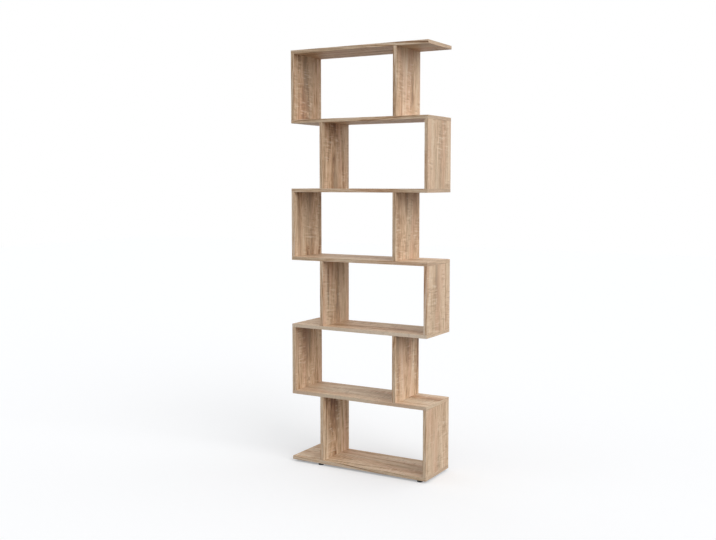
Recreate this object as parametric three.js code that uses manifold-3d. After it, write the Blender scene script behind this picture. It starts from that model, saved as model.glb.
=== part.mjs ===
// Zigzag bookshelf in decor board. Full-width boards carry the tiers. In each tier one end panel and
// one divider panel stand between two boards, and they swap sides from tier to tier.
// Millimetres, +Z up. The origin is on the floor under the middle of the shelf, and the front faces -Y.

import * as THREE from 'three';
import { mergeVertices } from 'three/addons/utils/BufferGeometryUtils.js';
import Module from 'manifold-3d';

// Boards and panels
const shelfWidth = 700;
const shelfDepth = 235;
const boardThickness = 16;
const clearHeight = 300; // between one board and the next
const tierCount = 6;
const nicheWidth = 154; // from the open end of a tier to its divider
const seamGap = 0.2; // left where two pieces are drawn together

// Blind holes
const drillFloor = 5; // board left under a blind hole
const drillClearance = 0.3; // all round a piece that sits in a hole
const tipAir = 1; // from the tip of a dowel, bolt or screw to the bottom of its hole
const overrun = 1; // how far a cutter stands out of a face, or a joined piece reaches into it

// Dowels, glued into both ends of every panel
const dowelDiameter = 8;
const dowelPitch = 128; // between the two dowels of one end

// Cam fittings, one at each end of every panel
const camDiameter = 14.6;
const camInset = 34; // from the panel's end to the middle of the cam
const camFloor = 3.5; // panel left behind the cam
const camSlotLength = 9;
const camSlotWidth = 2;
const camSlotDepth = 2.5;
const boltBore = 8;
const boltShankDiameter = 6.4;
const boltCollarDiameter = 7.2;
const boltCollarLength = 4;
const boltThreadDiameter = 6;
const boltTipDiameter = 3.6;
const boltTipLength = 2;

// Floor glides, each held by one screw
const glideDiameter = 25;
const glideHeight = 10; // from the floor to the base board
const glideFootDiameter = 21;
const glideFootRise = 1.5;
const glideTopDiameter = 23.6;
const glideTopDrop = 1;
const glideWeb = 4; // plastic between the screw's head and the base board
const glideEdgeInset = 16; // from the front or rear edge to the middle of a glide
const glideEndInset = 37; // from the right end to the middle of a glide
const glideDividerInset = 6; // from the niche's end of the left glides to the bottom divider's face
const screwDiameter = 3.6;
const screwHeadDiameter = 8;
const screwHeadHeight = 2.2;
const screwTipLength = 3;

// How finely the round pieces are faceted
const drilledSides = 8;
const camSides = 12;
const glideSides = 20;

// Worked out from the sizes above
const tierPitch = boardThickness + clearHeight;
const panelHeight = clearHeight - 2 * seamGap;
const holeDepth = boardThickness - drillFloor;
const camPocketDepth = boardThickness - camFloor;
const pegReach = seamGap + holeDepth - tipAir; // of a dowel or bolt, out of the panel's end
const glideTop = glideHeight - seamGap;
const glideSeat = glideTop - glideWeb;

const wasm = await Module();
wasm.setup();

// A closed geometry as a solid that can be joined and cut
function toSolid(geometry) {
  const bare = new THREE.BufferGeometry();
  bare.setAttribute('position', geometry.getAttribute('position'));
  bare.setIndex(geometry.getIndex());
  const merged = mergeVertices(bare);
  const corners = merged.getIndex().array;
  const triVerts = [];
  for (let i = 0; i < corners.length; i += 3) {
    const [a, b, c] = corners.slice(i, i + 3);
    if (a !== b && b !== c && c !== a) {
      triVerts.push(a, b, c);
    }
  }
  const vertProperties = merged.getAttribute('position').array;
  return new wasm.Manifold(new wasm.Mesh({ numProp: 3, vertProperties, triVerts: Uint32Array.from(triVerts) }));
}

// A finished solid as a named piece of its material
function toPiece(name, solid, material) {
  const { vertProperties, triVerts } = solid.getMesh();
  const geometry = new THREE.BufferGeometry();
  geometry.setAttribute('position', new THREE.BufferAttribute(vertProperties, 3));
  geometry.setIndex(new THREE.BufferAttribute(triVerts, 1));
  geometry.computeVertexNormals();
  const piece = new THREE.Mesh(geometry, material);
  piece.name = name;
  return piece;
}

function block(width, depth, height, bottom) {
  return new THREE.BoxGeometry(width, depth, height).translate(0, 0, bottom + height / 2);
}

// A round bar along Z, from one height to another
function bar(diameter, from, to, sides) {
  const geometry = new THREE.CylinderGeometry(diameter / 2, diameter / 2, to - from, sides);
  return geometry.rotateX(Math.PI / 2).translate(0, 0, (from + to) / 2);
}

// A turned piece round Z, from its profile of [radius, height] points
function turned(profile, sides) {
  const points = profile.map(([radius, height]) => new THREE.Vector2(radius, height));
  return new THREE.LatheGeometry(points, sides).rotateX(Math.PI / 2);
}

const decorBoard = new THREE.MeshStandardMaterial({ color: 0xbfa589, roughness: 0.6, metalness: 0, flatShading: true });
const zincAlloy = new THREE.MeshStandardMaterial({ color: 0x9a9b9d, roughness: 0.4, metalness: 1, flatShading: true });
const blackPlastic = new THREE.MeshStandardMaterial({ color: 0x17181a, roughness: 0.5, metalness: 0, flatShading: true });
const screwSteel = new THREE.MeshStandardMaterial({ color: 0xb4b6b8, roughness: 0.35, metalness: 1, flatShading: true });

// The two panels of a tier. Tiers count from 1 at the bottom. Odd tiers have their end panel at the
// right and their niche at the left, and even tiers the other way round. Each end panel's cams are on
// its inner face, and each divider's are on the face towards -X.
function tierPanels(tier) {
  const endSide = tier % 2 === 1 ? 1 : -1;
  return [
    { name: 'end', x: endSide * (shelfWidth - boardThickness) / 2, camSide: -endSide },
    { name: 'divider', x: -endSide * (shelfWidth / 2 - nicheWidth - boardThickness / 2), camSide: -1 },
  ];
}

// The holes that one panel's end needs in the board that it stands on or carries
function jointHoles({ x }) {
  const dowelHole = dowelDiameter + 2 * drillClearance;
  return [
    { x, y: -dowelPitch / 2, diameter: dowelHole },
    { x, y: 0, diameter: boltThreadDiameter + 2 * drillClearance },
    { x, y: dowelPitch / 2, diameter: dowelHole },
  ];
}

// A board with its blind holes, drilled up from its lower face and down from its upper face
function makeBoard(name, lowerHoles, upperHoles) {
  let board = toSolid(block(shelfWidth, shelfDepth, boardThickness, 0));
  for (const { x, y, diameter } of lowerHoles) {
    board = board.subtract(toSolid(bar(diameter, -overrun, holeDepth, drilledSides).translate(x, y, 0)));
  }
  for (const { x, y, diameter } of upperHoles) {
    const hole = bar(diameter, boardThickness - holeDepth, boardThickness + overrun, drilledSides);
    board = board.subtract(toSolid(hole.translate(x, y, 0)));
  }
  return toPiece(name, board, decorBoard);
}

// Both ends of a panel are alike. Each matrix takes an end's own frame, where +Z points into the
// panel from the middle of the end, to the panel's frame.
const lowerEnd = new THREE.Matrix4();
const upperEnd = new THREE.Matrix4().makeRotationX(Math.PI).setPosition(0, 0, panelHeight);

// A panel with its glued dowels, its cam pockets and the bores that lead the bolts to them
function makePanel(name, camSide) {
  let panel = toSolid(block(boardThickness, shelfDepth, panelHeight, 0));
  for (const end of [lowerEnd, upperEnd]) {
    for (const side of [-1, 1]) {
      const dowel = bar(dowelDiameter, -pegReach, overrun, drilledSides).translate(0, side * dowelPitch / 2, 0);
      panel = panel.add(toSolid(dowel.applyMatrix4(end)));
    }
    const bore = bar(boltBore, -overrun, camInset, drilledSides);
    panel = panel.subtract(toSolid(bore.applyMatrix4(end)));
    const pocketFloor = boardThickness / 2 - camPocketDepth;
    const pocket = bar(camDiameter + 2 * drillClearance, pocketFloor, boardThickness / 2 + overrun, camSides);
    pocket.rotateY(camSide * Math.PI / 2).translate(0, 0, camInset);
    panel = panel.subtract(toSolid(pocket.applyMatrix4(end)));
  }
  return toPiece(name, panel, decorBoard);
}

// A cam with its bolt, round the middle of the cam. The bolt runs down to the board, and the cam's
// slotted face looks to camSide.
function makeCamConnector(name, camSide) {
  const face = boardThickness / 2 - drillClearance;
  const back = boardThickness / 2 - camPocketDepth + drillClearance;
  let cam = toSolid(bar(camDiameter, back, face, camSides).rotateY(camSide * Math.PI / 2));
  for (const turn of [0, Math.PI / 2]) {
    const slot = block(camSlotLength, camSlotWidth, camSlotDepth + overrun, face - camSlotDepth);
    cam = cam.subtract(toSolid(slot.rotateZ(turn).rotateY(camSide * Math.PI / 2)));
  }
  const tip = -camInset - pegReach;
  const collarTop = boltCollarLength - camInset;
  const bolt = turned([
    [0, tip],
    [boltTipDiameter / 2, tip],
    [boltThreadDiameter / 2, tip + boltTipLength],
    [boltThreadDiameter / 2, -camInset],
    [boltCollarDiameter / 2, -camInset],
    [boltCollarDiameter / 2, collarTop],
    [boltShankDiameter / 2, collarTop],
    [boltShankDiameter / 2, 0],
    [0, 0],
  ], drilledSides);
  return toPiece(name, cam.add(toSolid(bolt)), zincAlloy);
}

// A dished plastic disc, with a seat for its screw's head well above the floor
function makeGlide(name) {
  const recess = screwHeadDiameter / 2 + drillClearance;
  const bore = screwDiameter / 2 + drillClearance;
  const glide = turned([
    [recess, 0],
    [glideFootDiameter / 2, 0],
    [glideDiameter / 2, glideFootRise],
    [glideDiameter / 2, glideTop - glideTopDrop],
    [glideTopDiameter / 2, glideTop],
    [bore, glideTop],
    [bore, glideSeat],
    [recess, glideSeat],
    [recess, 0],
  ], glideSides);
  return toPiece(name, toSolid(glide), blackPlastic);
}

function makeGlideScrew(name) {
  const headTop = glideSeat - seamGap;
  const tip = glideHeight + holeDepth - tipAir;
  const screw = turned([
    [0, headTop - screwHeadHeight],
    [screwHeadDiameter / 2, headTop - screwHeadHeight],
    [screwHeadDiameter / 2, headTop],
    [screwDiameter / 2, headTop],
    [screwDiameter / 2, tip - screwTipLength],
    [0, tip],
  ], drilledSides);
  return toPiece(name, toSolid(screw), screwSteel);
}

const shelf = new THREE.Group();

// The glides stand under the bottom divider and the bottom end panel, near the front and rear edges
const glidePlaces = [];
for (const [depthName, depthSide] of [['front', -1], ['rear', 1]]) {
  const y = depthSide * (shelfDepth / 2 - glideEdgeInset);
  glidePlaces.push({ name: `${depthName}_left`, x: nicheWidth - glideDividerInset - shelfWidth / 2, y });
  glidePlaces.push({ name: `${depthName}_right`, x: shelfWidth / 2 - glideEndInset, y });
}
for (const { name, x, y } of glidePlaces) {
  const glide = makeGlide(`floor_glide_${name}`);
  const screw = makeGlideScrew(`glide_screw_${name}`);
  glide.position.set(x, y, 0);
  screw.position.set(x, y, 0);
  shelf.add(glide, screw);
}

// The boards, from the base board up to the top board
for (let level = 0; level <= tierCount; level += 1) {
  const isBase = level === 0;
  const isTop = level === tierCount;
  const glideHoles = glidePlaces.map(({ x, y }) => ({ x, y, diameter: screwDiameter + 2 * drillClearance }));
  const lowerHoles = isBase ? glideHoles : tierPanels(level).flatMap(jointHoles);
  const upperHoles = isTop ? [] : tierPanels(level + 1).flatMap(jointHoles);
  const boardName = isBase ? 'base_board' : isTop ? 'top_board' : `shelf_board_${level}`;
  const board = makeBoard(boardName, lowerHoles, upperHoles);
  board.position.z = glideHeight + level * tierPitch;
  shelf.add(board);
}

// The tiers, each with two panels and their four cam fittings, standing on the board below
for (let tier = 1; tier <= tierCount; tier += 1) {
  const stand = new THREE.Group();
  stand.position.z = glideHeight + (tier - 1) * tierPitch + boardThickness + seamGap;
  for (const { name, x, camSide } of tierPanels(tier)) {
    const panel = makePanel(`${name}_panel_${tier}`, camSide);
    const lowerConnector = makeCamConnector(`cam_connector_${tier}_${name}_lower`, camSide);
    const upperConnector = makeCamConnector(`cam_connector_${tier}_${name}_upper`, camSide);
    panel.position.set(x, 0, 0);
    lowerConnector.position.set(x, 0, camInset);
    upperConnector.position.set(x, 0, panelHeight - camInset);
    upperConnector.rotation.x = Math.PI;
    stand.add(panel, lowerConnector, upperConnector);
  }
  shelf.add(stand);
}

export default shelf;
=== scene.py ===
import math

import bmesh
import bpy
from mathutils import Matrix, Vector


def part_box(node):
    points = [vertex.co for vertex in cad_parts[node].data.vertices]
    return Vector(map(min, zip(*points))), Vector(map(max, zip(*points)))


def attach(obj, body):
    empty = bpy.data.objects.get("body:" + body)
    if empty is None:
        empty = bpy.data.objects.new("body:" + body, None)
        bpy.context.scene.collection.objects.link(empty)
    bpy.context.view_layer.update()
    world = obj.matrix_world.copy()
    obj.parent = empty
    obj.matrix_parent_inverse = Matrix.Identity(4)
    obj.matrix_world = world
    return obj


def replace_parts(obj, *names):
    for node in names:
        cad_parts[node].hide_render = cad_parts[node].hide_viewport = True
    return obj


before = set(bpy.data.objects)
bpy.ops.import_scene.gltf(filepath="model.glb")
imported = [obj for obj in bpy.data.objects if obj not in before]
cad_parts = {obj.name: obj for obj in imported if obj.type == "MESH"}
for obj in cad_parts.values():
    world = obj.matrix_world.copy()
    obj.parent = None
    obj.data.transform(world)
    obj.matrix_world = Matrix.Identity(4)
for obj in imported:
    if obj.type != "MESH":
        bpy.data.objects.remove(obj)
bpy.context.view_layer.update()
MM = 0.001


# Decor boards. The seven long boards and twelve uprights are sawn from 16 mm chipboard, faced on both
# sides with a printed washed-oak paper under matt melamine. The print runs along each piece. It shows
# flat-sawn oak: long nested flames at the heart, close streaks beside it, and rough saw marks across.

class Shade:
    """One output in a material's nodes. Sums of shades and numbers become Math nodes."""

    def __init__(self, finish, socket):
        self.finish = finish
        self.socket = socket

    def sum(self, operation, *values):
        return self.finish.node("ShaderNodeMath", {"operation": operation}, dict(enumerate(values)))

    def __add__(self, other):
        return self.sum("ADD", self, other)

    def __radd__(self, other):
        return self.sum("ADD", other, self)

    def __sub__(self, other):
        return self.sum("SUBTRACT", self, other)

    def __rsub__(self, other):
        return self.sum("SUBTRACT", other, self)

    def __mul__(self, other):
        return self.sum("MULTIPLY", self, other)

    def __rmul__(self, other):
        return self.sum("MULTIPLY", other, self)

    def __truediv__(self, other):
        return self.sum("DIVIDE", self, other)

    def __pow__(self, other):
        return self.sum("POWER", self, other)

    def __abs__(self):
        return self.sum("ABSOLUTE", self)

    def over(self, step):
        """What is left over, from 0 to 1, of the last whole step."""
        return self.sum("FRACT", self / step)

    def ease(self, low, high):
        """0 below low and 1 above high, with a smooth step between."""
        ends = {"Value": self, "From Min": low, "From Max": high}
        return self.finish.node("ShaderNodeMapRange", {"interpolation_type": "SMOOTHSTEP"}, ends)


class Finish:
    """A material: a Principled shader with its constants, and the nodes that vary it."""

    def __init__(self, name, **constants):
        self.material = bpy.data.materials.new(name)
        self.take(self.material, "Principled BSDF", constants)

    def take(self, owner, shader, constants):
        """Takes over the nodes of a material or a world, and sets its shader's constants."""
        owner.use_nodes = True
        self.nodes = owner.node_tree.nodes
        self.links = owner.node_tree.links
        self.shader = self.nodes[shader]
        for socket, value in constants.items():
            self.shader.inputs[socket.replace("_", " ")].default_value = value

    def fill(self, socket, value):
        if isinstance(value, Shade):
            self.links.new(value.socket, socket)
        else:
            socket.default_value = value

    def node(self, kind, settings=None, sockets=None, output=0):
        """Adds a node: its settings first, then its sockets by name or number."""
        made = self.nodes.new(kind)
        for setting, value in (settings or {}).items():
            if setting == "stops":
                self.set_stops(made.color_ramp, value)
            else:
                setattr(made, setting, value)
        for socket, value in (sockets or {}).items():
            self.fill(made.inputs[socket], value)
        return Shade(self, made.outputs[output])

    def set_stops(self, ramp, stops):
        """A ramp's places, from 0 to 1, with the colour at each."""
        while len(ramp.elements) < len(stops):
            ramp.elements.new(0.5)
        for element, (place, colour) in zip(ramp.elements, stops):
            element.position = place
            element.color = colour

    def put(self, **values):
        """Links what varies to the shader's sockets."""
        for socket, value in values.items():
            self.fill(self.shader.inputs[socket.replace("_", " ")], value)

    def parts(self, vector):
        """The three numbers of a vector."""
        split = self.node("ShaderNodeSeparateXYZ", {}, {0: vector})
        return [Shade(self, output) for output in split.socket.node.outputs]

    def along(self, name):
        """The three numbers of a vector that is stored on the mesh."""
        return self.parts(self.node("ShaderNodeAttribute", {"attribute_name": name}, {}, "Vector"))

    def noise(self, x, y, z, detail=1.0, roughness=0.5):
        """Noise from 0 to 1, with features about 1 across."""
        place = self.node("ShaderNodeCombineXYZ", {}, {0: x, 1: y, 2: z})
        numbers = {"Vector": place, "Scale": 1.0, "Detail": detail, "Roughness": roughness}
        return self.node("ShaderNodeTexNoise", {}, numbers)

    def blend(self, share, low, high):
        """Mixes two colours, from low at share 0 to high at share 1."""
        return self.node("ShaderNodeMix", {"data_type": "RGBA"}, {0: share, 6: low, 7: high}, 2)

    def relief(self, height, depth):
        """A bump at half strength, whose full height is depth, in metres."""
        sockets = {"Strength": 0.5, "Distance": depth, "Height": height}
        return self.node("ShaderNodeBump", {}, sockets)


def srgb(red, green, blue):
    """A colour as a screen shows it, from 0 to 255, in the linear numbers that a shader takes."""
    shares = [value / 255 for value in (red, green, blue)]
    return (*(s / 12.92 if s <= 0.04045 else ((s + 0.055) / 1.055) ** 2.4 for s in shares), 1.0)


def make_washed_oak():
    """The print, from what lay_print and make_bands store on each piece, with painted light and shade on
    some faces.
    """
    oak = Finish("washed_oak", Specular_IOR_Level=0.2)
    u, v, layer = oak.along("grain")
    heart_u, heart_v, taper = oak.along("heart")
    streak_u, streak_v, streak_gap = oak.along("streak")
    first_depth, second_depth, streak_reach = oak.along("streak_look")
    wash_and_painted_light, lift_and_painted_light, sawn = oak.along("tone")
    boldness, heart_depth, _ = oak.along("figure")

    # Growth rings, cut at a slant: depth is the distance from the pith of the trunk
    ring_spacing = 6.4 * MM
    pith_below = 52 * MM  # the least distance from the face to the pith
    heart_reach = 42 * MM  # how far the dark heart spreads to each side
    wander = oak.noise(u * 1.7, v * 4.5, layer, 2.0) - 0.5
    wave = oak.noise(u * 8.0, v * 18.0, layer + 3.1, 2.0) - 0.5
    aside = heart_v + wander * 0.030 + wave * 0.004
    below = pith_below + heart_u * taper + wander * 0.016
    depth = (aside * aside + below * below) ** 0.5
    group = oak.noise(depth * 46.0, u * 0.9, layer + 7.3, 4.0, 0.62)
    ring = (depth + oak.noise(depth * 30.0, u * 0.6, layer + 5.2) * 0.02).over(ring_spacing)
    late = ring.ease(0.30, 0.90) * (1.0 - ring.ease(0.92, 1.0))
    dark_heart = 1.0 - abs(aside).ease(0.0, heart_reach)
    strong = oak.noise(depth * 22.0, u * 3.0, layer + 11.9).ease(0.40, 0.66)

    # Fibres and flecks, each far longer than it is wide
    across = v + wave * 0.004
    fine = oak.noise(u * 5.0, across * 210.0, layer + 17.7, 2.0, 0.6)
    fleck = oak.noise(u * 24.0, across * 130.0, layer + 19.1, 2.0, 0.6)
    # The lift is painted shade on the shaded inner faces and painted light on a few lit ones; on the bands
    # it is their own tone.
    tone = 0.57 + lift_and_painted_light + (group - 0.5) * boldness * 2.0 + (fine - 0.5) * 1.1 + (fleck - 0.5) * 0.95
    tone = tone - late * strong * 0.17 - dark_heart * heart_depth

    # A pair of dark mineral streaks on a few pieces, fading out to the sides and towards both ends
    streak_core = 0.5 * MM
    fades_from, ends_at = 30 * MM, 135 * MM  # along the grain from its middle
    line = streak_v + wave * 0.010
    first = (1.0 - abs(line).ease(streak_core, streak_reach)) * first_depth
    second = (1.0 - abs(line - streak_gap).ease(streak_core, streak_reach)) * second_depth
    streak = (first + second) * (1.0 - abs(streak_u).ease(fades_from, ends_at))
    tone = tone - streak * (0.35 + fine * 0.5)

    wood = oak.node("ShaderNodeValToRGB", {"stops": [
        (0.00, srgb(124, 88, 62)), (0.25, srgb(171, 133, 99)), (0.50, srgb(210, 177, 144)),
        (0.75, srgb(224, 198, 169)), (1.00, srgb(235, 217, 196))]}, {"Fac": tone})

    # The wash: thick on some pieces, where on the lit faces it is painted light, greyer where it filled
    # the grain, rosier where the wood shows
    wood = oak.blend(wash_and_painted_light, wood, srgb(221, 199, 174))
    chalk = oak.noise(u * 2.2, v * 13.0, layer + 29.0, 2.0).ease(0.40, 0.66)
    wood = oak.blend(chalk * 0.46, wood, srgb(206, 188, 162))
    rosy = oak.noise(u * 2.6, v * 16.0, layer + 47.0, 2.0).ease(0.46, 0.70)
    wood = oak.blend(rosy * 0.40, wood, srgb(209, 166, 138))

    # Rough-sawn: broken ridges straight across the grain, in patches, chalky on their crests
    patch = oak.noise(u * 6.0, v * 14.0, layer + 31.0).ease(0.42, 0.60) * sawn
    ridge = oak.noise(u * 122.0 + v * 6.0, v * 19.0, layer + 37.0)
    scratch = oak.noise(u * 520.0 + v * 20.0, v * 34.0, layer + 43.0).ease(0.36, 0.64) * 0.9 + 0.45
    crest = ridge.ease(0.53, 0.72) * patch * scratch
    dip = (1.0 - ridge.ease(0.30, 0.46)) * patch * scratch
    wood = oak.blend(crest * 0.40, wood, srgb(238, 222, 200))
    wood = oak.blend(dip * 0.34, wood, srgb(138, 107, 82))

    # Pores: short dark dashes along the fibres, fewer in the dense late wood
    pore = oak.noise(u * 90.0, across * 1300.0, layer + 41.0).ease(0.58, 0.72) * (1.0 - late * 0.6)
    wood = oak.blend(pore * 0.38, wood, srgb(114, 84, 62))

    height = crest * 0.5 - dip * 0.5 - pore * 0.8 + fine * 0.5
    oak.put(Base_Color=wood, Roughness=0.58 + pore * 0.15 - late * 0.05,
            Normal=oak.relief(height, 0.12 * MM))
    return oak.material


def make_chipboard():
    """Pressed chips, in the sawn ends and the drilled holes."""
    core = Finish("chipboard", Roughness=0.85, Specular_IOR_Level=0.2)
    place = core.node("ShaderNodeTexCoord", {}, {}, "Object")
    chips = core.node("ShaderNodeTexVoronoi", {}, {"Vector": place, "Scale": 420.0}, "Color")
    chip = core.parts(chips)[0]
    core.put(Base_Color=core.blend(chip, srgb(150, 121, 88), srgb(206, 181, 142)),
             Normal=core.relief(chip, 0.3 * MM))
    return core.material


def make_beech():
    """Dowels turned from beech, with short flecks along them."""
    beech = Finish("beech", Roughness=0.7, Specular_IOR_Level=0.3)
    x, y, z = beech.parts(beech.node("ShaderNodeTexCoord", {}, {}, "Object"))
    fleck = beech.noise(z * 120.0, x * 1400.0, y * 1400.0, 2.0)
    beech.put(Base_Color=beech.blend(fleck.ease(0.3, 0.7), srgb(176, 132, 96), srgb(214, 176, 138)))
    return beech.material


band_thickness = 0.8 * MM  # the cores are cut short by this, for the edge bands
dowel_reach = 10.2 * MM  # the glued dowels stand out of an upright's ends by this
hair = 0.1 * MM  # points less than this apart count as level
core_materials = [make_washed_oak(), make_chipboard(), make_beech()]
DECOR, CHIPS, DOWEL = range(3)

# Each piece's heart: its share of the length, its share of the depth, and how fast it slants away
hearts = {
    "base_board": (0.10, 0.40, 0.05),
    "shelf_board_1": (0.75, 0.62, -0.05),
    "shelf_board_2": (0.30, 0.35, 0.04),
    "shelf_board_3": (0.90, 0.55, -0.06),
    "shelf_board_4": (0.20, 0.60, 0.05),
    "shelf_board_5": (0.65, 0.45, 0.06),
    "top_board": (0.40, 0.55, -0.05),
    "end_panel_1": (0.35, 0.55, 0.07),
    "divider_panel_1": (0.50, 0.43, 0.06),
    "end_panel_2": (0.50, 0.43, 0.06),
    "divider_panel_2": (0.45, 0.52, -0.08),
    "end_panel_3": (0.60, 0.42, 0.08),
    "divider_panel_3": (0.20, 0.57, 0.07),
    "end_panel_4": (0.70, 0.56, -0.07),
    "divider_panel_4": (0.70, 0.45, -0.07),
    "end_panel_5": (0.30, 0.57, 0.07),
    "divider_panel_5": (0.50, 0.43, 0.06),
    "end_panel_6": (0.50, 0.43, 0.06),
    "divider_panel_6": (0.55, 0.68, 0.07),
}
pieces = list(hearts)

# Which part of the print a piece is cut from, where that isn't simply its turn in the list above
print_parts = {"divider_panel_1": 38, "end_panel_2": 34, "divider_panel_5": 30, "end_panel_6": 25}
part_step = 9.7  # from one part of the print to the next
side_step = 5.0  # and to the part on a piece's other side

# Dark streaks on a right-hand face, in pairs: the share of the height and of the depth where the first
# one is, and from it to the second; then how dark each is, and how far each reaches to its sides
streaks = {
    "divider_panel_3": ((0.57, 0.56, -84 * MM), (0.45, 1.6, 14 * MM)),
    "divider_panel_6": ((0.40, 0.62, 17 * MM), (0.9, 0.9, 8.5 * MM)),
    "divider_panel_2": ((0.84, 0.50, 13 * MM), (0.5, 0.5, 8.5 * MM)),
    "divider_panel_4": ((0.86, 0.42, 13 * MM), (0.5, 0.5, 8.5 * MM)),
}
no_streak_place = (0.0, 0.0, 0.0)
no_streak_look = (0.0, 0.0, 1.0)

# Painted light and shade, on a top or right-hand face only: how far the print is washed out, and how much
# paler or darker it is. The lit outer end faces are painted paler and the shaded inner faces darker.
painted_light_and_shade = {
    "shelf_board_1": (0.0, 0.05),
    "shelf_board_3": (0.1, 0.05),
    "end_panel_1": (0.32, 0.0),
    "divider_panel_1": (0.0, -0.04),
    "end_panel_2": (0.0, -0.09),
    "divider_panel_2": (0.12, -0.12),
    "end_panel_3": (0.32, 0.0),
    "divider_panel_3": (0.0, -0.06),
    "end_panel_4": (0.0, -0.12),
    "divider_panel_4": (0.16, -0.14),
    "end_panel_5": (0.38, 0.03),
    "divider_panel_5": (0.0, -0.07),
    "end_panel_6": (0.0, -0.12),
    "divider_panel_6": (0.16, 0.0),
}

# How bold the figure is, how dark the heart and how rough the saw marks: as a rule, and on the
# right-hand faces of a few uprights
bold_uprights = ["divider_panel_1", "end_panel_2", "end_panel_4", "divider_panel_5", "end_panel_6"]
plain_figure = (1.0, 0.16, 1.0)
bold_figure = (1.15, 0.30, 1.15)


def store(mesh, name, vectors):
    """Keeps one vector for each corner of each face."""
    stored = mesh.attributes.new(name, "FLOAT_VECTOR", "CORNER")
    stored.data.foreach_set("vector", [number for vector in vectors for number in vector])


def add_piece(name, mesh):
    """Puts a piece on the shelf's one body."""
    piece = bpy.data.objects.new(name, mesh)
    bpy.context.scene.collection.objects.link(piece)
    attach(piece, "root")
    return piece


def lay_print(mesh, node, slip=0.0):
    """Lays the print along a piece: another part of it on each side, with the heart and streaks, and
    painted light and shade on its top or right-hand face.
    """
    low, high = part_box(node)
    along, across, thick = (2, 1, 0) if "panel" in node else (0, 1, 2)
    length, depth = high[along] - low[along], high[across] - low[across]
    heart_u, heart_v, taper = hearts[node]
    part = print_parts.get(node, pieces.index(node))
    (streak_u, streak_v, gap), streak_look = streaks.get(node, (no_streak_place, no_streak_look))
    wash_and_painted_light, lift_and_painted_light = painted_light_and_shade.get(node, (0.0, 0.0))
    places, heart_places, streak_places, streak_looks, shades, figures = [], [], [], [], [], []
    for face in mesh.polygons:
        far_side = face.normal[thick] < 0
        bold = node in bold_uprights and not far_side
        boldness, heart_depth, sawn = bold_figure if bold else plain_figure
        for vertex in face.vertices:
            corner = mesh.vertices[vertex].co
            u, v = corner[along] - low[along], corner[across] - low[across]
            places.append((u, v, part * part_step + side_step * far_side + slip))
            heart_places.append((u - heart_u * length, v - heart_v * depth, taper))
            streak_places.append((u - streak_u * length, v - streak_v * depth, gap))
            streak_looks.append(no_streak_look if far_side else streak_look)
            shades.append((0.0, 0.0, sawn) if far_side else (wash_and_painted_light, lift_and_painted_light, sawn))
            figures.append((boldness, heart_depth, 0.0))
    store(mesh, "grain", places)
    store(mesh, "heart", heart_places)
    store(mesh, "streak", streak_places)
    store(mesh, "streak_look", streak_looks)
    store(mesh, "tone", shades)
    store(mesh, "figure", figures)


def make_core(node):
    """A piece as far as its edge bands: the print on its faces, chips in its edges and its holes."""
    low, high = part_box(node)
    upright = "panel" in node
    thick = 0 if upright else 2
    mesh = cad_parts[node].data.copy()
    mesh.name = f"{node}_core"
    for vertex in mesh.vertices:
        for axis in ((1,) if upright else (0, 1)):
            if vertex.co[axis] > high[axis] - band_thickness:
                vertex.co[axis] = high[axis] - band_thickness
            elif vertex.co[axis] < low[axis] + band_thickness:
                vertex.co[axis] = low[axis] + band_thickness
    mesh.materials.clear()
    for material in core_materials:
        mesh.materials.append(material)
    for face in mesh.polygons:
        sunk = min(face.center[thick] - low[thick], high[thick] - face.center[thick])
        past_end = min(face.center.z - low.z, high.z - face.center.z) < dowel_reach - hair
        square_on = abs(face.normal[thick]) > 0.99
        if square_on and sunk < hair:
            face.material_index = DECOR
        else:
            face.material_index = DOWEL if upright and past_end else CHIPS
    lay_print(mesh, node)
    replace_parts(add_piece(f"{node}_core", mesh), node)


for node in pieces:
    make_core(node)


# Edge bands. A 0.8 mm strip of the same print is glued along every cut edge that shows: first on the
# short ends of the boards, then on the long front and rear edges over them. Their corners are milled
# to a small round, and stop a hair short of the faces beside them.

band_round = 0.6 * MM
band_shy = 0.04 * MM
band_heart = 0.25  # from a band to the heart of its print, in metres
band_ring_squeeze = 5.0  # the rings cross a band at a steep angle, so they lie closer on it
band_slant = 0.30  # and they run slowly off its edge, so it has lighter and darker stretches
band_boldness = 1.8
short_band_wash = 0.5  # the boards' short ends are the most washed out
band_sawn = 0.3  # the saw marks are fainter on the bands
band_part_step = 7.3  # from one piece's bands to the next one's in the print
band_run_step = 2.1  # and from band to band of one piece

# How much paler or darker the bands are: on the long edges, and on a board's short ends
plain_band = (0.08, 0.0)
band_tones = {
    "base_board": (0.15, -0.33),
    "shelf_board_1": (0.66, -0.08),
    "shelf_board_2": (0.66, -0.14),
    "shelf_board_3": (0.10, -0.06),
    "shelf_board_4": (0.02, -0.47),
    "shelf_board_5": (0.03, -0.38),
    "top_board": (-0.05, -0.20),
    "end_panel_1": (0.12, 0.0),
    "divider_panel_1": (0.08, 0.0),
    "end_panel_2": (0.22, 0.0),
    "divider_panel_2": (0.05, 0.0),
    "end_panel_3": (0.02, 0.0),
    "end_panel_4": (0.34, 0.0),
    "divider_panel_4": (0.02, 0.0),
    "end_panel_5": (0.12, 0.0),
    "end_panel_6": (-0.04, 0.0),
    "divider_panel_6": (0.12, 0.0),
}


def band_section(half_height):
    """The strip's section from the core outwards: how far out, and how high, round both corners."""
    points = [(0.0, -half_height)]
    for side, turns in ((-1, (0, 30, 60, 90)), (1, (90, 60, 30, 0))):
        for turn in turns:
            out = band_thickness - band_round * (1 - math.sin(math.radians(turn)))
            up = side * (half_height - band_round * (1 - math.cos(math.radians(turn))))
            points.append((out, up))
    return points + [(0.0, half_height)]


def face_outwards(mesh):
    """Turns the front of every face to the outside."""
    work = bmesh.new()
    work.from_mesh(mesh)
    bmesh.ops.recalc_face_normals(work, faces=work.faces)
    work.to_mesh(mesh)
    work.free()


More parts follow.
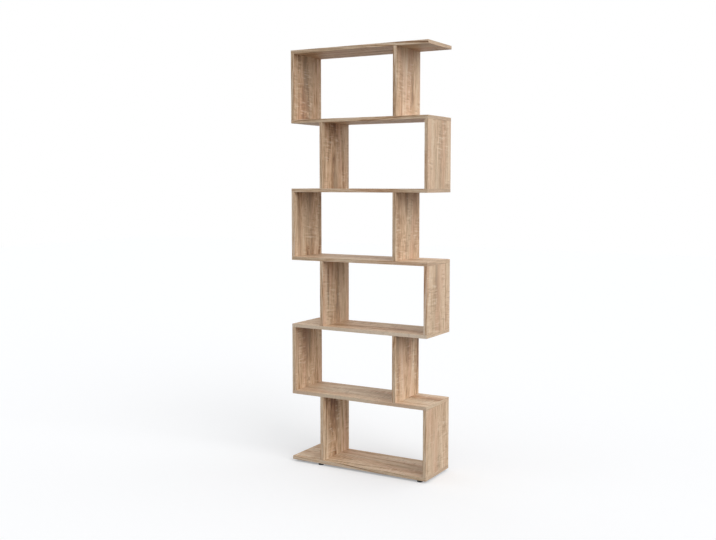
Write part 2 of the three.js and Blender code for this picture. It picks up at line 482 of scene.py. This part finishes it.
def make_bands(node):
    """The strips of one piece, on all the edges where its chips would show."""
    low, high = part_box(node)
    part = pieces.index(node)
    along, thick = 0, 2
    if "panel" in node:
        along, thick = 2, 0
        low.z += dowel_reach
        high.z -= dowel_reach
    middle, half = (low + high) / 2, (high - low) / 2
    runs = [(along, 1, side, half[along]) for side in (-1, 1)]
    if along == 0:
        runs += [(1, 0, side, half.y - band_thickness) for side in (-1, 1)]
    section = band_section(half[thick] - band_shy)
    count = len(section)
    points, faces, places, heart_places, shades = [], [], [], [], []
    for run, (run_axis, out_axis, side, half_length) in enumerate(runs):
        first = len(points)
        short = run // 2  # 0 on the long edges, 1 on a board's short ends
        shade = (short_band_wash * short, band_tones.get(node, plain_band)[short], band_sawn)
        slant = band_slant * (-1) ** (part + run)
        for end in (-1, 1):
            for out, up in section:
                place = middle.copy()
                place[run_axis] += end * half_length
                place[out_axis] += side * (half[out_axis] - band_thickness + out)
                place[thick] += up
                points.append(place)
        sides = [(i, (i + 1) % count, count + (i + 1) % count, count + i) for i in range(count)]
        ends = [tuple(range(count)), tuple(range(count, 2 * count))]
        for corners in sides + ends:
            faces.append([first + i for i in corners])
            for i in corners:
                u, v = points[first + i][run_axis], section[i % count][1]
                from_heart = band_heart + v * band_ring_squeeze + (u - middle[run_axis]) * slant
                places.append((u, v, part * band_part_step + run * band_run_step))
                heart_places.append((0.0, from_heart, 0.0))
                shades.append(shade)
    mesh = bpy.data.meshes.new(f"{node}_edge_bands")
    mesh.from_pydata(points, [], faces)
    mesh.materials.append(core_materials[DECOR])
    store(mesh, "grain", places)
    store(mesh, "heart", heart_places)
    store(mesh, "streak", [no_streak_place] * len(places))
    store(mesh, "streak_look", [no_streak_look] * len(places))
    store(mesh, "tone", shades)
    store(mesh, "figure", [(band_boldness, 0.0, 0.0)] * len(places))
    face_outwards(mesh)
    add_piece(f"{node}_edge_bands", mesh)


for node in pieces:
    make_bands(node)


# Cam fittings. Die-cast zinc cams, each gripping the head of a steel bolt, pull the boards and uprights
# together. They sit in drilled pockets, in sight only while the caps are off.

def make_zinc():
    zinc = Finish("zinc_alloy", Metallic=1.0)
    x, y, z = zinc.parts(zinc.node("ShaderNodeTexCoord", {}, {}, "Object"))
    cast = zinc.noise(x * 900.0, y * 900.0, z * 900.0, 3.0)
    zinc.put(Base_Color=zinc.blend(cast, srgb(150, 152, 155), srgb(196, 198, 200)),
             Roughness=0.32 + cast * 0.25, Normal=zinc.relief(cast, 0.05 * MM))
    return zinc.material


zinc = make_zinc()
cam_nodes = [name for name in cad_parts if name.startswith("cam_connector_")]
for name in cam_nodes:
    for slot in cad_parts[name].material_slots:
        slot.material = zinc


# Cover caps. A thin round of the decor film, 18 mm across with a softly pressed rim, is stuck over each
# cam, so that the fittings hardly show on the inner faces.

cap_radius = 9 * MM
cap_rise = 0.45 * MM
cap_profile = [  # radius and rise, up the rim, over its soft edge and onto the flat top
    (cap_radius, 0.02 * MM), (cap_radius, 0.20 * MM), (cap_radius - 0.15 * MM, 0.35 * MM),
    (cap_radius - 0.6 * MM, cap_rise), (cap_radius * 0.5, cap_rise)]
cap_sides = 48
cap_slip = 0.6  # each cap is cut from another part of the print
cam_inset = 34 * MM  # from an upright's end to the middle of its cam


def make_cap(cam_name):
    """The cap over one cam, on the side of the upright where the cam's pocket opens."""
    _, _, tier, kind, end = cam_name.split("_")
    panel = f"{kind}_panel_{tier}"
    low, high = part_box(panel)
    cam_low, cam_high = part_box(cam_name)
    side = 1 if (cam_low + cam_high).x > (low + high).x else -1
    face_x = high.x if side > 0 else low.x
    reach = dowel_reach + cam_inset
    middle = Vector((face_x, 0, low.z + reach if end == "lower" else high.z - reach))
    points, faces = [], []
    for radius, rise in cap_profile:
        for step in range(cap_sides):
            turn = math.tau * step / cap_sides
            out = Vector((side * rise, radius * math.cos(turn), radius * math.sin(turn)))
            points.append(middle + out)
    for ring in range(len(cap_profile) - 1):
        for step in range(cap_sides):
            following = (step + 1) % cap_sides
            row, next_row = ring * cap_sides, (ring + 1) * cap_sides
            faces.append((row + step, row + following, next_row + following, next_row + step))
    faces.append(tuple(range(cap_sides)))
    faces.append(tuple(range(len(points) - cap_sides, len(points))))
    mesh = bpy.data.meshes.new(f"cover_cap_{tier}_{kind}_{end}")
    mesh.from_pydata(points, [], faces)
    face_outwards(mesh)
    mesh.materials.append(core_materials[DECOR])
    lay_print(mesh, panel, cap_slip)
    add_piece(mesh.name, mesh)


for cam_name in cam_nodes:
    make_cap(cam_name)


# Floor glides. Four black moulded discs, 25 mm across and 10 mm high, carry the base board clear of the
# floor. Each has a rounded foot and a recess below for the screw that holds it.

def make_black_plastic():
    plastic = Finish("black_plastic", Specular_IOR_Level=0.5)
    x, y, z = plastic.parts(plastic.node("ShaderNodeTexCoord", {}, {}, "Object"))
    spark = plastic.noise(x * 2500.0, y * 2500.0, z * 2500.0, 2.0)
    cloud = plastic.noise(x * 160.0, y * 160.0, z * 160.0)
    plastic.put(Base_Color=plastic.blend(cloud, srgb(24, 24, 25), srgb(40, 39, 39)),
                Roughness=0.38 + cloud * 0.25, Normal=plastic.relief(spark, 0.06 * MM))
    return plastic.material


def turn_profile(name, middle, profile, sides):
    """A turned piece: its profile of (radius, height) goes round the upright line at middle."""
    points, faces, rows = [], [], []
    for radius, height in profile:
        rows.append(len(points))
        for step in range(sides if radius > 0 else 1):
            turn = math.tau * step / sides
            points.append(middle + Vector((radius * math.cos(turn), radius * math.sin(turn), height)))
    for (row, next_row), (here, there) in zip(zip(rows, rows[1:]), zip(profile, profile[1:])):
        for step in range(sides):
            following = (step + 1) % sides
            near = [row + step, row + following] if here[0] > 0 else [row]
            far = [next_row + following, next_row + step] if there[0] > 0 else [next_row]
            faces.append(near + far)
    mesh = bpy.data.meshes.new(name)
    mesh.from_pydata(points, [], faces)
    work = bmesh.new()
    work.from_mesh(mesh)
    bmesh.ops.remove_doubles(work, verts=work.verts, dist=0.0001 * MM)
    bmesh.ops.recalc_face_normals(work, faces=work.faces)
    work.to_mesh(mesh)
    work.free()
    return mesh


def round_corner(radius, height, size, first, last, steps=5):
    """Points of a rounded corner about its middle, from one angle to another in degrees."""
    turns = [math.radians(first + (last - first) * step / steps) for step in range(steps + 1)]
    return [(radius + size * math.cos(turn), height + size * math.sin(turn)) for turn in turns]


black_plastic = make_black_plastic()
glide_radius = 12.5 * MM
glide_web = 4 * MM  # between the screw's head and the base board
screw_hole, head_recess = 2.1 * MM, 4.3 * MM
foot_round, top_round, recess_round = 2.0 * MM, 0.8 * MM, 0.6 * MM
glide_sides = 64
glide_places = ["front_left", "front_right", "rear_left", "rear_right"]
for place in glide_places:
    node = f"floor_glide_{place}"
    low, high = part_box(node)
    middle = Vector(((low.x + high.x) / 2, (low.y + high.y) / 2, low.z))
    top = high.z - low.z
    seat = top - glide_web
    profile = [(screw_hole, seat), (head_recess, seat), (head_recess, recess_round)]
    profile += round_corner(head_recess + recess_round, recess_round, recess_round, 180, 270)
    profile += round_corner(glide_radius - foot_round, foot_round, foot_round, 270, 360, steps=8)
    profile += round_corner(glide_radius - top_round, top - top_round, top_round, 0, 90)
    profile += [(screw_hole, top), (screw_hole, seat)]
    mesh = turn_profile(f"glide_disc_{place}", middle, profile, glide_sides)
    mesh.materials.append(black_plastic)
    mesh.shade_smooth()
    mesh.set_sharp_from_angle(angle=math.radians(40))
    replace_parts(add_piece(mesh.name, mesh), node)


# Glide screws. A pan-head steel screw with a cross recess goes up through each glide into the base
# board. Its head lies in the glide's recess, clear of the floor.

def make_screw_steel():
    steel = Finish("screw_steel_bright", Metallic=1.0)
    x, y, z = steel.parts(steel.node("ShaderNodeTexCoord", {}, {}, "Object"))
    rub = steel.noise(x * 700.0, y * 700.0, z * 700.0, 3.0)
    steel.put(Base_Color=steel.blend(rub, srgb(168, 169, 171), srgb(208, 209, 210)),
              Roughness=0.25 + rub * 0.2)
    return steel.material


def make_screw(node, place, material):
    """One screw, point upwards: its thread row by row, and then its head below."""
    low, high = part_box(node)
    middle = Vector(((low.x + high.x) / 2, (low.y + high.y) / 2, low.z))
    length = high.z - low.z
    head, shank, tip = 2.2 * MM, 1.25 * MM, 3.0 * MM
    blunt = 0.10  # the share of the width that is left at the point
    pitch, crest, steepness = 1.4 * MM, 0.5 * MM, 4.5
    rows, smooth_rows, sides = 110, 4, 32  # the thread starts past the smooth rows
    points, faces = [], []
    for row in range(rows):
        height = head + (length - head) * row / (rows - 1)
        taper = min(1.0, (length - height) / tip + blunt)
        for step in range(sides):
            turns = (height / pitch - step / sides) % 1.0
            ridge = max(0.0, 1 - abs(turns - 0.5) * steepness) if row > smooth_rows else 0.0
            radius = (shank + crest * ridge) * taper
            turn = math.tau * step / sides
            points.append(middle + Vector((radius * math.cos(turn), radius * math.sin(turn), height)))
    for row in range(rows - 1):
        for step in range(sides):
            following = (step + 1) % sides
            faces.append((row * sides + step, row * sides + following,
                          (row + 1) * sides + following, (row + 1) * sides + step))
    faces.append(tuple((rows - 1) * sides + step for step in range(sides)))

    # The head: a crown turned round, and a tapered cross sunk into its face
    crown = [(shank, head), (3.6 * MM, head), (3.95 * MM, head - 0.35 * MM), (3.8 * MM, 0.9 * MM),
             (3.2 * MM, 0.25 * MM), (2.6 * MM, 0.0)]
    head_mesh = turn_profile("screw_head", middle, crown, sides)
    work = bmesh.new()
    work.from_mesh(head_mesh)
    bpy.data.meshes.remove(head_mesh)
    lowest = middle.z + 0.01 * MM
    rim = [edge for edge in work.edges
           if edge.is_boundary and all(vertex.co.z < lowest for vertex in edge.verts)]
    wide, long, sunk, narrowing = 0.45 * MM, 1.9 * MM, 1.4 * MM, 0.5
    outline = [(long, -wide), (long, wide), (wide, wide), (wide, long), (-wide, long), (-wide, wide),
               (-long, wide), (-long, -wide), (-wide, -wide), (-wide, -long), (wide, -long), (wide, -wide)]
    mouth = [work.verts.new(middle + Vector((x, y, 0))) for x, y in outline]
    floor = [work.verts.new(middle + Vector((x * narrowing, y * narrowing, sunk))) for x, y in outline]
    corners = [(i, (i + 1) % len(outline)) for i in range(len(outline))]
    edges = [work.edges.new((mouth[i], mouth[j])) for i, j in corners]
    bmesh.ops.triangle_fill(work, use_beauty=True, edges=rim + edges)
    for i, j in corners:
        work.faces.new((mouth[i], mouth[j], floor[j], floor[i]))
    work.faces.new(floor)
    thread = [work.verts.new(point) for point in points]
    for face in faces:
        work.faces.new([thread[i] for i in face])
    bmesh.ops.remove_doubles(work, verts=work.verts, dist=0.002 * MM)
    bmesh.ops.recalc_face_normals(work, faces=work.faces)
    mesh = bpy.data.meshes.new(f"glide_screw_turned_{place}")
    work.to_mesh(mesh)
    work.free()
    mesh.materials.append(material)
    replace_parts(add_piece(mesh.name, mesh), node)


screw_steel = make_screw_steel()
for place in glide_places:
    make_screw(f"glide_screw_{place}", place, screw_steel)


# Studio. A white room, with a broad soft lamp at the right and a little to the front, two weak ones at
# the rear right and low at the left, and even light from all round. The camera sees it all as white.

class RoomLight(Finish):
    """The nodes of the light that comes from all round."""

    def __init__(self, name, **constants):
        self.world = bpy.data.worlds.new(name)
        self.take(self.world, "Background", constants)


def when_seen(finish):
    """1 for what the camera sees, also in a gloss or through a clear piece, and 0 for what is lit."""
    rays = finish.node("ShaderNodeLightPath").socket.node.outputs
    seen = Shade(finish, rays["Is Camera Ray"])
    for kind in ("Is Glossy Ray", "Is Transmission Ray"):
        seen = seen.sum("MAXIMUM", seen, Shade(finish, rays[kind]))
    return seen


def make_floor():
    """A floor of matt paper. What it gives back to the shelf is warmer and darker than it looks."""
    half = 14.0  # metres
    corners = [(-half, -half, 0), (half, -half, 0), (half, half, 0), (-half, half, 0)]
    mesh = bpy.data.meshes.new("floor")
    mesh.from_pydata(corners, [], [(0, 1, 2, 3)])
    floor = bpy.data.objects.new("floor", mesh)
    bpy.context.scene.collection.objects.link(floor)
    paper = Finish("floor_paper", Roughness=1.0, Specular_IOR_Level=0.0, Emission_Strength=1.0)
    seen = when_seen(paper)
    lit_by, looks = (0.19, 0.17, 0.15, 1.0), (0.722, 0.730, 0.740, 1.0)
    no_glow, glow = (0.0, 0.0, 0.0, 1.0), (0.284, 0.286, 0.290, 1.0)
    paper.put(Base_Color=paper.blend(seen, lit_by, looks),
              Emission_Color=paper.blend(seen, no_glow, glow))
    mesh.materials.append(paper.material)


def make_room(strength):
    """White to the camera, and at the given strength to everything that it lights."""
    room = RoomLight("white_room", Color=(1.0, 1.0, 1.0, 1.0))
    bpy.context.scene.world = room.world
    levels = {"Value": when_seen(room), "To Min": strength, "To Max": 1.0}
    room.put(Strength=room.node("ShaderNodeMapRange", {}, levels))


def make_lamp(name, strength, width, azimuth, elevation):
    """A far lamp: its width across the sky, and the direction that it stands in, in degrees."""
    distance = 3  # metres, only for where its mark is drawn
    light = bpy.data.lights.new(name, "SUN")
    light.angle = math.radians(width)
    light.energy = strength
    lamp = bpy.data.objects.new(name, light)
    bpy.context.scene.collection.objects.link(lamp)
    turn, rise = math.radians(azimuth), math.radians(elevation)
    level = math.cos(rise)
    lamp.location = distance * Vector((level * math.cos(turn), level * math.sin(turn), math.sin(rise)))
    lamp.rotation_euler = lamp.location.to_track_quat("Z", "Y").to_euler()


def make_camera():
    photo_width, focal_length, shift = 716, 952.7, -10  # pixels
    pitch, azimuth = 4.651, 30.015  # degrees: down from level, and round from the front to the right
    data = bpy.data.cameras.new("camera")
    data.sensor_width = 36.0
    data.lens = focal_length * data.sensor_width / photo_width
    data.shift_y = shift / photo_width
    camera = bpy.data.objects.new("camera", data)
    camera.location = (2.1358, -3.8036, 1.3181)
    camera.rotation_euler = (math.radians(90 - pitch), 0, math.radians(azimuth))
    bpy.context.scene.collection.objects.link(camera)
    bpy.context.scene.camera = camera


make_floor()
make_room(strength=0.635)
make_lamp("soft_key", strength=1.54, width=50, azimuth=-20, elevation=32)
make_lamp("rear_fill", strength=0.40, width=60, azimuth=40, elevation=15)
make_lamp("low_fill", strength=0.39, width=100, azimuth=180, elevation=18)
make_camera()
bpy.context.scene.view_settings.view_transform = "Standard"
